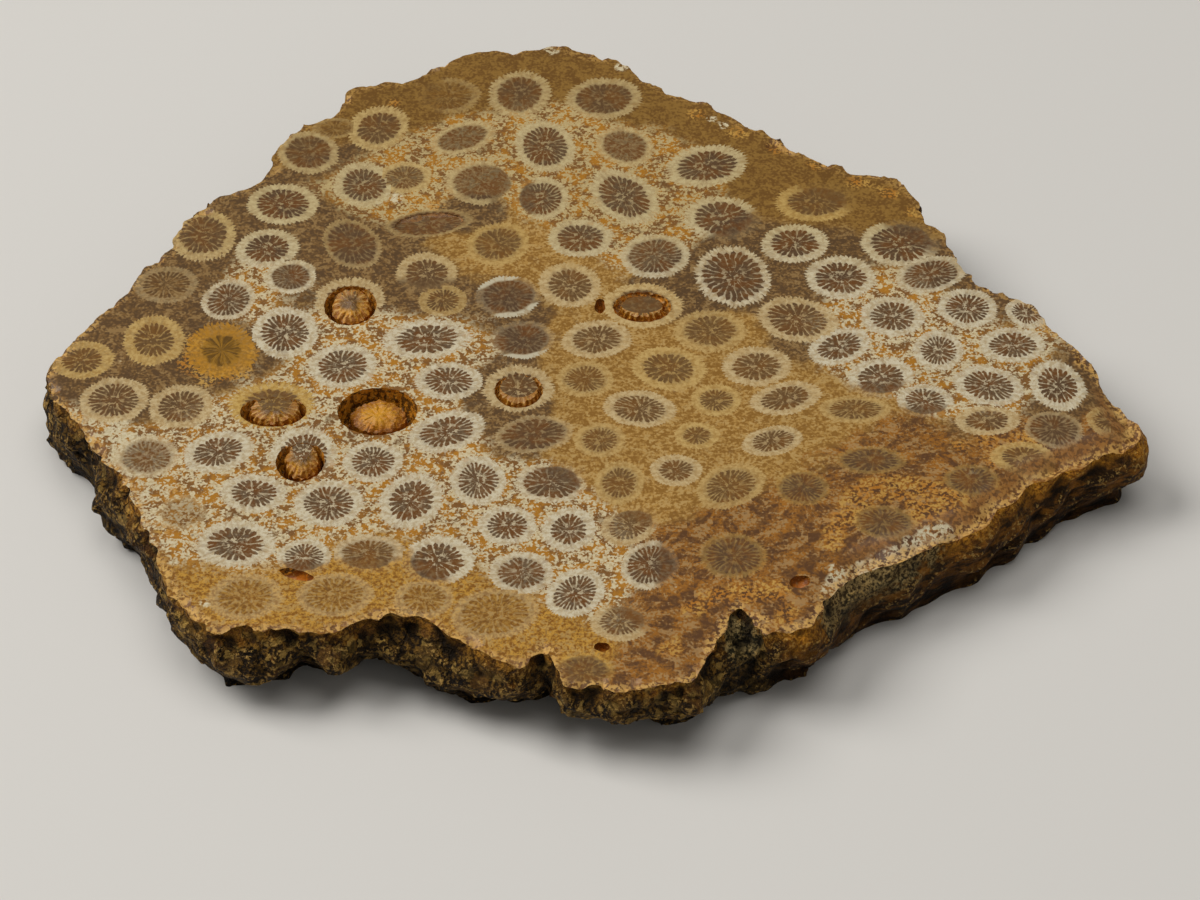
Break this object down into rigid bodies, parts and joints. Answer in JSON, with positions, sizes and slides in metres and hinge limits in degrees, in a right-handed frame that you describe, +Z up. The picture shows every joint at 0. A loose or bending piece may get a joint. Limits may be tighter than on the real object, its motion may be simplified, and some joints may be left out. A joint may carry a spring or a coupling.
{
  "type": "fossil coral slab",
  "caption": "Flat slab of silicified fossil coral, polished on top to show round corallites, with a broken natural rim; lies flat.",
  "frame": {"origin": "on the surface it lies on, under the middle of its bounding box", "axes": "+Z up out of the polished face; +X along the slab's length; +Y across it, away from the broken front with the deep notches"},
  "size_m": [0.1104, 0.0964, 0.009],
  "materials": {
    "silicified_coral": "polished and lightly glossy on the top face, sawn matt below, rough broken stone round the rim"
  },
  "bodies": {
    "root": {"coral_slab": "silicified_coral"}
  },
  "joints": []
}
